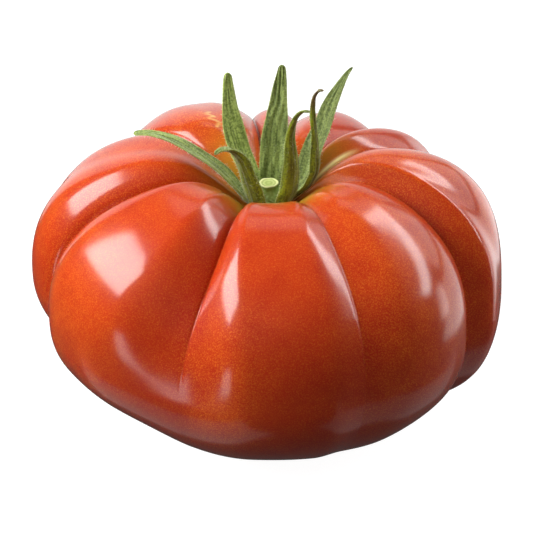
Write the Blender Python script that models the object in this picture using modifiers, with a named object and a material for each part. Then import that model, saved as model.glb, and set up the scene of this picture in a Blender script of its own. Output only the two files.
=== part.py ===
"""Ribbed beefsteak tomato, picked with its green calyx, standing on its blossom end.

The fruit is one solid.  The cut stem stub and the seven sepals are separate pieces of the calyx.
The origin is the middle of the flat resting spot, +Z runs up the core and -Y is the front.
Bearings are in degrees around the core: 0 is the front, 90 the right, 180 the back.
Elevations are in degrees seen from the middle of the waist: 90 is the stem end, -90 the base.
"""

import math
from dataclasses import dataclass

import bmesh
import bpy
import numpy as np

MM = 0.001

# Fruit body, in millimetres
WAIST_RADIUS = 55.3
FRONT_TO_BACK = 0.97
WAIST_Z = 31.5
CROWN_RISE = 35.5
BASE_DROP = 33.2
CROWN_SQUARENESS = 2.6
BASE_SQUARENESS = 2.05
DIMPLE_DEPTH = 17.0
DIMPLE_SPREAD = 13.5
STEM_FADE = 14.0
BASE_FADE = 30.0

# Mesh of the fruit: columns between two neighbouring deep furrows, and rings from pole to pole
COLUMNS_PER_LOBE = 7
RINGS = 36

# Calyx, in millimetres
SEPAL_THICKNESS = 0.8
SEPAL_STEPS = 14
SEPAL_BASE_SHARE = 0.6
SEPAL_WIDEST_AT = 0.25
SEPAL_TIP_SHARE = 0.08
STUB_SIDES = 20

# Heights on the fruit, as elevations, at which each furrow's bearing is given
FURROW_HEIGHTS = (80.0, 45.0, 0.0, -60.0)


@dataclass(frozen=True)
class Furrow:
    """A valley between two lobes.

    Its bearings run from the stem to the base.  Its slopes are the widths of its two sides in
    degrees, and its crispness says how sharp each side meets it; the crisp shares and spread
    shares scale these two at each height.
    """

    bearings: tuple
    depth: float
    waist_share: float
    slopes: tuple
    crispness: tuple
    base_share: float = 0.33
    crisp_shares: tuple = (1.0, 1.0, 1.0, 1.0)
    spread_shares: tuple = (1.0, 1.0, 1.0, 1.0)


@dataclass(frozen=True)
class Swell:
    """A broad bump (or, with a negative amount, a hollow) on the flank of one lobe."""

    bearing: float
    elevation: float
    bearing_spread: float
    elevation_spread: float
    amount: float


@dataclass(frozen=True)
class Sepal:
    """One strap of the calyx, with its route in millimetres from the stub to the tip.

    The widths, measured round the bend of the strap, and the folds, the angles in degrees that
    its margins are bent towards the core, are read at even steps along it.  It faces away from
    the core at a bearing.
    """

    name: str
    route: tuple
    widths: tuple
    folds: tuple
    facing: float


# Deep furrows, in order around the fruit from the front left one
DEEP_FURROWS = (
    Furrow(
        (-28, -20, -22, -26), 0.16, 0.31, (21, 14), (0.55, 0.85), 0.02,
        (0.4, 1.0, 0.0, 0.0), (0.9, 0.8, 1.3, 1.3),
    ),
    Furrow(
        (32, 25, 23, 18), 0.052, 0.50, (9, 14), (0.6, 0.1), 0.0,
        (0.5, 1.0, 0.3, 0.0), (1.3, 1.2, 0.95, 1.0),
    ),
    Furrow(
        (83, 73, 63, 62), 0.15, 0.65, (28, 9), (0.9, 0.3), 0.33,
        (0.5, 1.0, 1.0, 1.0), (0.7, 0.8, 1.0, 1.0),
    ),
    Furrow((112, 114, 120, 122), 0.14, 0.60, (26, 18), (0.5, 0.6)),
    Furrow((138, 140, 142, 142), 0.13, 0.60, (16, 16), (0.7, 0.7)),
    Furrow((170, 170, 170, 170), 0.13, 0.60, (14, 14), (0.7, 0.7)),
    Furrow((186, 186, 186, 188), 0.13, 0.60, (12, 16), (0.7, 0.7)),
    Furrow((240, 233, 230, 230), 0.14, 0.60, (22, 24), (0.6, 0.5)),
    Furrow((288, 283, 281, 280), 0.16, 0.65, (13, 18), (0.9, 0.55)),
)
# Soft furrows, which only dent a lobe
SOFT_FURROWS = (
    Furrow((262, 256, 254, 254), 0.02, 1.00, (13, 13), (0.0, 0.0)),
)
SWELLS = (
    Swell(2, -10, 22, 40, 0.02),
    Swell(26, -32, 18, 16, 0.035),
    Swell(-52, 30, 28, 28, 0.03),
    Swell(-50, -32, 22, 16, -0.05),
    Swell(-106, -2, 30, 26, 0.035),
    Swell(-128, 45, 14, 16, 0.05),
    Swell(-22, -30, 14, 20, 0.035),
    Swell(72, -26, 26, 18, 0.075),
    Swell(97, 40, 20, 20, 0.06),
    Swell(80, 30, 4, 22, -0.013),
    Swell(158, 48, 34, 30, -0.10),
    Swell(-165, 50, 30, 26, -0.03),
)
# Share of a furrow's full depth at the stem; its shares at the waist and the base are its own
STEM_SHARE = 0.65

SEPALS = (
    Sepal(
        "sepal_left",
        ((-5.0, -0.6, 53.8), (-7.6, -1.5, 57.3), (-9.9, -1.5, 60.2),
         (-12.5, -1.4, 63.0), (-15.8, -1.0, 65.6), (-19.7, -0.5, 68.2), (-23.4, 0.1, 69.9),
         (-27.4, 1.1, 70.6), (-31.2, 1.8, 70.2)),
        (4.4, 5.0, 5.4, 5.2, 4.7, 3.9, 2.9, 1.6),
        (60, 90, 90, 80, 60, 50, 40, 40), -90,
    ),
    Sepal(
        "sepal_back_left",
        ((-3.5, 3.6, 53.8), (-5.3, 6.0, 58.9), (-7.0, 7.5, 62.7),
         (-8.2, 9.0, 66.7), (-9.0, 10.5, 71.2), (-9.4, 12.0, 75.7), (-9.6, 13.0, 79.9)),
        (4.2, 4.6, 4.9, 5.3, 5.1, 4.0, 2.9, 1.7), (30, 45, 45, 35, 30, 30, 30, 30), -160,
    ),
    Sepal(
        "sepal_front_left",
        ((-3.3, -3.8, 53.8), (-4.0, -4.9, 58.5), (-4.8, -5.4, 61.6),
         (-5.7, -5.9, 65.3), (-6.7, -6.3, 68.4), (-8.2, -6.8, 70.6), (-10.0, -7.2, 71.3),
         (-11.4, -7.7, 71.2), (-12.3, -8.1, 70.5)),
        (5.4, 5.6, 5.4, 4.9, 4.2, 3.2, 2.0, 0.9), (50, 60, 80, 90, 90, 90, 80, 60), -25,
    ),
    Sepal(
        "sepal_back",
        ((0.6, 5.0, 53.8), (0.9, 5.6, 58.3), (1.1, 7.0, 62.4),
         (1.4, 8.4, 66.0), (1.9, 9.8, 69.2), (2.5, 12.6, 74.9), (3.0, 14.2, 79.0),
         (3.1, 14.9, 80.9)),
        (5.8, 6.3, 6.4, 6.2, 5.4, 4.2, 3.1, 1.5), (20, 40, 45, 40, 40, 40, 40, 40), 178,
    ),
    Sepal(
        "sepal_front_right",
        ((3.2, -3.8, 53.8), (4.9, -4.4, 58.1), (5.3, -4.6, 60.7),
         (5.5, -5.0, 65.4), (5.2, -5.3, 70.0), (5.1, -5.6, 73.4), (5.5, -5.9, 76.8),
         (6.3, -6.2, 79.4), (7.7, -6.5, 80.9), (9.5, -6.7, 80.9)),
        (5.0, 5.3, 5.2, 4.9, 4.0, 3.0, 2.3, 1.5, 0.9), (50, 70, 90, 100, 110, 110, 100, 90, 60),
        28,
    ),
    Sepal(
        "sepal_back_right",
        ((4.2, 3.0, 53.8), (8.3, 4.3, 56.9), (9.6, 6.0, 60.6),
         (10.8, 7.5, 63.8), (12.6, 9.5, 67.2), (14.0, 11.5, 70.8), (15.8, 13.0, 74.5),
         (18.1, 14.5, 78.4), (19.6, 15.0, 80.2)),
        (4.4, 5.0, 5.2, 5.0, 4.5, 3.6, 2.2, 0.5), (40, 50, 50, 45, 40, 40, 40, 40), 150,
    ),
    Sepal(
        "sepal_right",
        ((5.1, -1.0, 53.7), (9.0, -0.8, 57.3), (10.5, -0.4, 60.0),
         (11.1, -0.2, 62.0), (11.0, 0.0, 66.0), (10.6, 0.5, 71.3), (10.2, 1.0, 76.6),
         (10.4, 1.4, 79.9), (11.3, 1.8, 81.3), (12.6, 2.0, 81.4)),
        (3.2, 3.6, 4.0, 4.0, 3.3, 2.5, 1.9, 1.4, 0.9), (70, 80, 90, 90, 100, 100, 100, 90, 60),
        52,
    ),
)

# Stem stub profile, (radius, height) in millimetres, from the cut face down to the underside
STUB_PROFILE = (
    (0.0, 57.9), (1.2, 57.95), (1.9, 58.1), (2.25, 57.8), (2.2, 56.4), (2.5, 55.3),
    (3.2, 54.5), (3.9, 53.8), (4.0, 53.1), (3.4, 52.4), (2.0, 51.5), (0.0, 51.1),
)


def clear_scene():
    """Remove every object that a new scene starts with."""
    for item in list(bpy.data.objects):
        bpy.data.objects.remove(item, do_unlink=True)


def new_collection(name):
    """Make the collection that holds the tomato's pieces."""
    collection = bpy.data.collections.new(name)
    bpy.context.scene.collection.children.link(collection)
    return collection


def new_material(name, colour, roughness):
    """Make a Principled material from linear colour and roughness."""
    material = bpy.data.materials.new(name)
    material.use_nodes = True
    shader = material.node_tree.nodes["Principled BSDF"]
    shader.inputs["Base Color"].default_value = (*colour, 1.0)
    shader.inputs["Roughness"].default_value = roughness
    shader.inputs["Metallic"].default_value = 0.0
    return material


def new_object(name, mesh, material, collection):
    """Link a mesh to the collection as one smooth-shaded piece."""
    mesh.materials.append(material)
    mesh.shade_smooth()
    piece = bpy.data.objects.new(name, mesh)
    collection.objects.link(piece)
    return piece


def smooth_step(value):
    """Ease from 0 to 1 as the value goes from 0 to 1, level at both ends."""
    value = min(max(value, 0.0), 1.0)
    return value * value * (3.0 - 2.0 * value)


def along_furrow(elevation, values):
    """Read a quantity given at the furrow heights, by smooth curves between them."""
    heights = np.array(FURROW_HEIGHTS[::-1])
    values = np.array(values[::-1], dtype=float)
    slopes = np.gradient(values, heights)
    low = int(np.clip(np.searchsorted(heights, elevation) - 1, 0, len(heights) - 2))
    span = heights[low + 1] - heights[low]
    t = min(max((elevation - heights[low]) / span, 0.0), 1.0)
    rise = t * t * (3.0 - 2.0 * t)
    start_slope = t * (1.0 - t) ** 2 * slopes[low] * span
    end_slope = t * t * (t - 1.0) * slopes[low + 1] * span
    return float((1.0 - rise) * values[low] + rise * values[low + 1] + start_slope + end_slope)


def furrow_cut(furrow, bearing, elevation):
    """Share of the radius that a furrow takes away at one place."""
    offset = (bearing - along_furrow(elevation, furrow.bearings) + 180.0) % 360.0 - 180.0
    side = 0 if offset < 0.0 else 1
    slope = furrow.slopes[side] * along_furrow(elevation, furrow.spread_shares)
    reach = min(abs(offset) / slope, 1.0)
    sharp = 1.0 - math.sqrt(1.0 - (1.0 - reach) ** 2)
    rounded = math.cos(math.pi * reach / 2.0) ** 2
    crisp = furrow.crispness[side] * along_furrow(elevation, furrow.crisp_shares)
    shares = (STEM_SHARE, 1.0, furrow.waist_share, furrow.base_share)
    depth = furrow.depth * along_furrow(elevation, shares)
    fade = smooth_step((90.0 - elevation) / STEM_FADE) * smooth_step((90.0 + elevation) / BASE_FADE)
    return depth * fade * (crisp * sharp + (1.0 - crisp) * rounded)


def swell_push(swell, bearing, elevation):
    """Share of the radius that a swell adds at one place."""
    across = ((bearing - swell.bearing + 180.0) % 360.0 - 180.0) / swell.bearing_spread
    up = (elevation - swell.elevation) / swell.elevation_spread
    return swell.amount * math.exp(-across * across - up * up)


def fruit_point(bearing, elevation):
    """Point of the skin, in millimetres.

    A squared-off ellipsoid is cut by the furrows and pushed out by the swells.  The stem dimple
    then sinks its crown, and the resting spot cuts its base flat at height zero.
    """
    turn = math.radians(bearing)
    out = max(math.cos(math.radians(elevation)), 0.0)
    up = math.sin(math.radians(elevation))
    if up > 0.0:
        square, reach = CROWN_SQUARENESS, CROWN_RISE
    else:
        square, reach = BASE_SQUARENESS, BASE_DROP
    radius = ((out / WAIST_RADIUS) ** square + (abs(up) / reach) ** square) ** (-1.0 / square)
    cut = sum(furrow_cut(furrow, bearing, elevation) for furrow in DEEP_FURROWS + SOFT_FURROWS)
    push = sum(swell_push(swell, bearing, elevation) for swell in SWELLS)
    radius *= 1.0 - cut + push
    spread = radius * out
    height = WAIST_Z + radius * up
    if up > 0.0:
        height -= DIMPLE_DEPTH * math.exp(-((spread / DIMPLE_SPREAD) ** 2))
    x = spread * math.sin(turn)
    y = -spread * math.cos(turn) * FRONT_TO_BACK
    return x, y, max(height, 0.0)


def column_bearing(column, elevation):
    """Bearing of a mesh column, so that every deep furrow has a column in its valley."""
    lobe, step = divmod(column, COLUMNS_PER_LOBE)
    start = along_furrow(elevation, DEEP_FURROWS[lobe].bearings)
    following = DEEP_FURROWS[(lobe + 1) % len(DEEP_FURROWS)]
    end = along_furrow(elevation, following.bearings)
    if lobe + 1 == len(DEEP_FURROWS):
        end += 360.0
    return start + (end - start) * step / COLUMNS_PER_LOBE


def build_fruit(material, collection):
    """Move a ball's vertices onto the skin, ring by ring and column by column."""
    columns = COLUMNS_PER_LOBE * len(DEEP_FURROWS)
    shape = bmesh.new()
    bmesh.ops.create_uvsphere(shape, u_segments=columns, v_segments=RINGS, radius=1.0)
    for vert in shape.verts:
        elevation = math.degrees(math.asin(min(max(vert.co.z, -1.0), 1.0)))
        around = math.degrees(math.atan2(vert.co.y, vert.co.x)) % 360.0
        column = round(around / 360.0 * columns) % columns
        x, y, z = fruit_point(column_bearing(column, elevation), elevation)
        vert.co = (x * MM, y * MM, z * MM)
    bmesh.ops.recalc_face_normals(shape, faces=shape.faces)
    mesh = bpy.data.meshes.new("fruit")
    shape.to_mesh(mesh)
    shape.free()
    return new_object("fruit", mesh, material, collection)


def build_stem_stub(material, collection):
    """Turn the stub's profile around the core."""
    mesh = bpy.data.meshes.new("stem_stub")
    verts = [(radius * MM, 0.0, height * MM) for radius, height in STUB_PROFILE]
    edges = [(i, i + 1) for i in range(len(verts) - 1)]
    mesh.from_pydata(verts, edges, [])
    piece = new_object("stem_stub", mesh, material, collection)
    turn = piece.modifiers.new("turn", "SCREW")
    turn.axis = "Z"
    turn.angle = math.tau
    turn.steps = STUB_SIDES
    turn.render_steps = STUB_SIDES
    turn.use_merge_vertices = True
    turn.merge_threshold = 0.00001
    turn.use_smooth_shade = True
    return piece


def smooth_route(points, count):
    """Points evenly spaced along a smooth curve through the given ones."""
    points = np.array(points, dtype=float)
    padded = np.vstack([2 * points[0] - points[1], points, 2 * points[-1] - points[-2]])
    dense = []
    for before, start, end, after in zip(padded, padded[1:], padded[2:], padded[3:]):
        t = np.linspace(0.0, 1.0, 24, endpoint=False)[:, None]
        bend = (2 * before - 5 * start + 4 * end - after) * t**2
        twist = (3 * start - before - 3 * end + after) * t**3
        dense.append(start + 0.5 * ((end - before) * t + bend + twist))
    dense = np.vstack([*dense, points[-1:]])
    lengths = np.linalg.norm(np.diff(dense, axis=0), axis=1)
    run = np.concatenate([[0.0], np.cumsum(lengths)])
    stations = np.linspace(0.0, run[-1], count)
    return np.column_stack([np.interp(stations, run, dense[:, axis]) for axis in range(3)])


def along_strap(t, values):
    """Read a quantity given at even steps from the root of a sepal to its tip."""
    return float(np.interp(t, np.linspace(0.0, 1.0, len(values)), values))


def sepal_half_width(sepal, t):
    """Half the width of a sepal at share t of its length: narrow root, belly, rounded tip."""
    root = SEPAL_BASE_SHARE + (1.0 - SEPAL_BASE_SHARE) * smooth_step(t / SEPAL_WIDEST_AT)
    tip = math.sqrt(min((1.0 - t) / SEPAL_TIP_SHARE, 1.0))
    return max(0.5 * along_strap(t, sepal.widths) * root * tip, 0.35)


def build_sepal(sepal, material, collection):
    """Bend a flat strip along the sepal's route, fold its margins in and give it thickness."""
    route = smooth_route(sepal.route, SEPAL_STEPS + 1)
    forward = np.gradient(route, axis=0)
    forward /= np.linalg.norm(forward, axis=1)[:, None]
    bearing = math.radians(sepal.facing)
    across = np.cross((math.sin(bearing), -math.cos(bearing), 0.0), (0.0, 0.0, 1.0))
    strip = bmesh.new()
    bmesh.ops.create_grid(strip, x_segments=4, y_segments=SEPAL_STEPS, size=1.0)
    for vert in strip.verts:
        t = (vert.co.y + 1.0) / 2.0
        row = round(t * SEPAL_STEPS)
        side = across - forward[row] * across.dot(forward[row])
        side /= np.linalg.norm(side)
        inner_face = np.cross(side, forward[row])
        fold = math.radians(along_strap(t, sepal.folds))
        radius = 2.0 * sepal_half_width(sepal, t) / fold
        shift = radius * math.sin(vert.co.x * fold / 2.0)
        lift = radius * (1.0 - math.cos(vert.co.x * fold / 2.0))
        vert.co = (route[row] + side * shift + inner_face * lift) * MM
    mesh = bpy.data.meshes.new(sepal.name)
    strip.to_mesh(mesh)
    strip.free()
    piece = new_object(sepal.name, mesh, material, collection)
    wall = piece.modifiers.new("thickness", "SOLIDIFY")
    wall.thickness = SEPAL_THICKNESS * MM
    wall.offset = 0.0
    return piece


def main():
    """Build the fruit, the stem stub and the seven sepals."""
    clear_scene()
    collection = new_collection("tomato")
    skin = new_material("tomato skin", (0.65, 0.05, 0.01), 0.22)
    stem = new_material("cut stem", (0.30, 0.36, 0.10), 0.55)
    leaf = new_material("sepal tissue", (0.13, 0.21, 0.05), 0.60)
    build_fruit(skin, collection)
    build_stem_stub(stem, collection)
    for sepal in SEPALS:
        build_sepal(sepal, leaf, collection)


main()
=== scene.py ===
"""Looks of a ribbed beefsteak tomato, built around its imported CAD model.

The fruit, the cut stem stub and the seven sepals are smooth surfaces, and their down is slim
spikes.  All are worked out as whole numpy arrays in the CAD model's own frame: +Z up the core,
-Y to the front.
Shapes are stated in millimetres and turned to metres when they become meshes.
"""

import logging
import math
from dataclasses import dataclass, field
from enum import Enum
from typing import Any

import bpy
import numpy as np
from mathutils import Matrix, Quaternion, Vector


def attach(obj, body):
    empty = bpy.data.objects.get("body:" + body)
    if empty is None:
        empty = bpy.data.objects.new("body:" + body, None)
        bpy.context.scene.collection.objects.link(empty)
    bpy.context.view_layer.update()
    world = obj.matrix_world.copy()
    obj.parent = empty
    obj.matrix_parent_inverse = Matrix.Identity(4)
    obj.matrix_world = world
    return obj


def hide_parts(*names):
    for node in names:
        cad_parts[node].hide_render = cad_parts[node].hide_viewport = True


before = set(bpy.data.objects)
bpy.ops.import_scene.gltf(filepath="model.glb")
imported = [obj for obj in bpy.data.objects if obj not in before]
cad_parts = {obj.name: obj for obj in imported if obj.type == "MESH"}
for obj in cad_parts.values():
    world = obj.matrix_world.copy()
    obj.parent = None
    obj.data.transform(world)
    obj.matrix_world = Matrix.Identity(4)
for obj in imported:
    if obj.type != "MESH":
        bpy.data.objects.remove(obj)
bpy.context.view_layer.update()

LOG = logging.getLogger("tomato")
MM = 0.001
BODY = "root"


class Slot(Enum):
    """The record's material slots."""

    SKIN = "skin"
    STEM = "stem"
    SEPAL = "sepal"


# ---------------------------------------------------------------- small helpers


def linear(hex_colour: str) -> tuple[float, float, float, float]:
    """Turn an sRGB hex colour into the linear colour that a shader takes.

    Args:
        hex_colour: Six hex digits with a leading hash.

    Returns:
        Linear red, green and blue, and an alpha of one.
    """
    shares = [int(hex_colour[i : i + 2], 16) / 255.0 for i in (1, 3, 5)]
    curve = [s / 12.92 if s <= 0.04045 else ((s + 0.055) / 1.055) ** 2.4 for s in shares]
    return (curve[0], curve[1], curve[2], 1.0)


def set_inputs(
    tree: bpy.types.NodeTree, node: bpy.types.Node, inputs: dict[str | int, Any]
) -> None:
    """Set a node's inputs by name or number, and link those that are given an output socket."""
    for key, value in inputs.items():
        if isinstance(value, bpy.types.NodeSocket):
            tree.links.new(value, node.inputs[key])
        else:
            node.inputs[key].default_value = value


def add_node(
    tree: bpy.types.NodeTree,
    kind: str,
    inputs: dict[str | int, Any] | None = None,
    **settings: Any,
) -> bpy.types.Node:
    """Add one node, set its properties, and set or link its inputs.

    Args:
        tree: The node tree that takes the node.
        kind: Blender's type name of the node.
        inputs: Value, or output socket to link, for each input by name or number.
        **settings: The node's own properties.

    Returns:
        The new node.
    """
    node = tree.nodes.new(kind)
    for name, value in settings.items():
        setattr(node, name, value)
    set_inputs(tree, node, inputs or {})
    return node


def new_material(name: str) -> tuple[bpy.types.Material, bpy.types.NodeTree, bpy.types.Node]:
    """Start a node material, and return it with its tree and its Principled shader."""
    material = bpy.data.materials.new(name)
    material.use_nodes = True
    return material, material.node_tree, material.node_tree.nodes["Principled BSDF"]


def read_tints(tree: bpy.types.NodeTree, *names: str) -> dict[str, bpy.types.NodeSocket]:
    """Read the mesh's attributes of these names."""
    return {
        name: add_node(tree, "ShaderNodeAttribute", attribute_name=name).outputs["Fac"]
        for name in names
    }


def mix_colours(tree: bpy.types.NodeTree, share: Any, low: Any, high: Any) -> bpy.types.NodeSocket:
    """Blend from one colour to another by a share; a colour is a hex string or a socket."""
    low, high = (linear(c) if isinstance(c, str) else c for c in (low, high))
    return add_node(tree, "ShaderNodeMix", {0: share, 6: low, 7: high}, data_type="RGBA").outputs[2]


def set_ramp(node: bpy.types.Node, stops: list[tuple[float, str]]) -> None:
    """Give a Color Ramp its stops.

    Args:
        node: The Color Ramp node.
        stops: Place and hex colour of each stop, in order.
    """
    elements = node.color_ramp.elements
    while len(elements) < len(stops):
        elements.new(1.0)
    for element, (place, colour) in zip(elements, stops):
        element.position = place
        element.color = linear(colour)


def smooth_step(value: np.ndarray | float) -> np.ndarray:
    """Ease from 0 to 1 as the value goes from 0 to 1, level at both ends."""
    value = np.clip(value, 0.0, 1.0)
    return value * value * (3.0 - 2.0 * value)


def wrap_degrees(angle: np.ndarray) -> np.ndarray:
    """Bring angles into the range from -180 to 180 degrees."""
    return (angle + 180.0) % 360.0 - 180.0


def through_knots(place: np.ndarray, knots: tuple, values: tuple) -> np.ndarray:
    """Read a smooth curve through a few given values.

    The curve is a cubic Hermite between each two knots, with the slope at a knot taken from its
    neighbours, and it stays level beyond the first and last knot.

    Args:
        place: Where to read the curve.
        knots: Places of the given values, falling.
        values: The given values.

    Returns:
        The curve's value at each place.
    """
    xs = np.array(knots[::-1], dtype=float)
    ys = np.array(values[::-1], dtype=float)
    slopes = np.gradient(ys, xs)
    low = np.clip(np.searchsorted(xs, place) - 1, 0, len(xs) - 2)
    span = xs[low + 1] - xs[low]
    t = np.clip((place - xs[low]) / span, 0.0, 1.0)
    rise = smooth_step(t)
    lead = t * (1.0 - t) ** 2 * slopes[low] * span
    trail = t * t * (t - 1.0) * slopes[low + 1] * span
    return (1.0 - rise) * ys[low] + rise * ys[low + 1] + lead + trail


def smooth_route(points: tuple, count: int) -> np.ndarray:
    """Space points evenly along a smooth curve through a few given ones.

    Each stretch is a Catmull-Rom cubic, and the ends are carried on in a straight line.

    Args:
        points: The given points.
        count: How many points to return.

    Returns:
        Array of count points.
    """
    given = np.array(points, dtype=float)
    padded = np.vstack([2 * given[0] - given[1], given, 2 * given[-1] - given[-2]])
    t = np.linspace(0.0, 1.0, 40, endpoint=False)[None, :, None]
    before, start, end, after = (padded[i : len(padded) - 3 + i, None, :] for i in range(4))
    bend = (2 * before - 5 * start + 4 * end - after) * t**2
    twist = (3 * start - before - 3 * end + after) * t**3
    dense = (start + 0.5 * ((end - before) * t + bend + twist)).reshape(-1, given.shape[1])
    dense = np.vstack([dense, given[-1:]])
    run = np.concatenate([[0.0], np.cumsum(np.linalg.norm(np.diff(dense, axis=0), axis=1))])
    stations = np.linspace(0.0, run[-1], count)
    return np.column_stack([np.interp(stations, run, axis) for axis in dense.T])


def mesh_between_poles(name: str, rings: np.ndarray) -> bpy.types.Mesh:
    """Close a grid of rings with one vertex at each end and make it a mesh.

    Vertex 0 is the first ring's middle and the last vertex is the last ring's middle; the rings
    between them follow in order.  The faces are turned over if the volume comes out negative.

    Args:
        name: Name of the mesh.
        rings: Array of rows, columns and coordinates in millimetres; a row is one closed ring.

    Returns:
        The closed mesh, in metres, shaded smooth.
    """
    rows, columns = rings.shape[0] - 2, rings.shape[1]
    poles = rings[[0, -1]].mean(axis=1)
    verts = np.vstack([poles[:1], rings[1:-1].reshape(-1, 3), poles[1:]]) * MM
    index = 1 + np.arange(rows * columns).reshape(rows, columns)
    after = np.roll(index, -1, axis=1)
    quads = np.stack([index[:-1], index[1:], after[1:], after[:-1]], axis=-1).reshape(-1, 4)
    first = np.stack([np.zeros(columns, int), index[0], after[0]], axis=-1)
    last = np.stack([np.full(columns, len(verts) - 1), after[-1], index[-1]], axis=-1)
    a, b, c, d = (verts[quads[:, i]] for i in range(4))
    volume = np.einsum("ij,ij->", a, np.cross(b, c)) + np.einsum("ij,ij->", a, np.cross(c, d))
    if volume < 0.0:
        quads, first, last = quads[:, ::-1], first[:, ::-1], last[:, ::-1]
    mesh = bpy.data.meshes.new(name)
    mesh.from_pydata(verts.tolist(), [], [*first.tolist(), *quads.tolist(), *last.tolist()])
    mesh.shade_smooth()
    return mesh


def pole_values(values: np.ndarray) -> np.ndarray:
    """List a grid of values in the vertex order that mesh_between_poles gives."""
    ends = values[[0, -1]].mean(axis=1)
    return np.concatenate([ends[:1], values[1:-1].ravel(), ends[1:]])


def store(mesh: bpy.types.Mesh, name: str, values: np.ndarray) -> None:
    """Keep one number for each vertex as a named attribute of the mesh."""
    layer = mesh.attributes.new(name, "FLOAT", "POINT")
    layer.data.foreach_set("value", values.astype(np.float32))


def add_piece(name: str, mesh: bpy.types.Mesh, nodes: tuple = ()) -> bpy.types.Object:
    """Link a finished mesh to the scene and tell the frame what it is.

    Args:
        name: Name of the piece.
        mesh: Its mesh, in place.
        nodes: CAD nodes that it stands for.

    Returns:
        The new object.
    """
    piece = bpy.data.objects.new(name, mesh)
    bpy.context.scene.collection.objects.link(piece)
    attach(piece, BODY)
    for node in nodes:
        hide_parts(node)
    LOG.info("%s: %d vertices, %d faces", name, len(mesh.vertices), len(mesh.polygons))
    return piece


# ---------------------------------------------------------------- finishes


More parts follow.
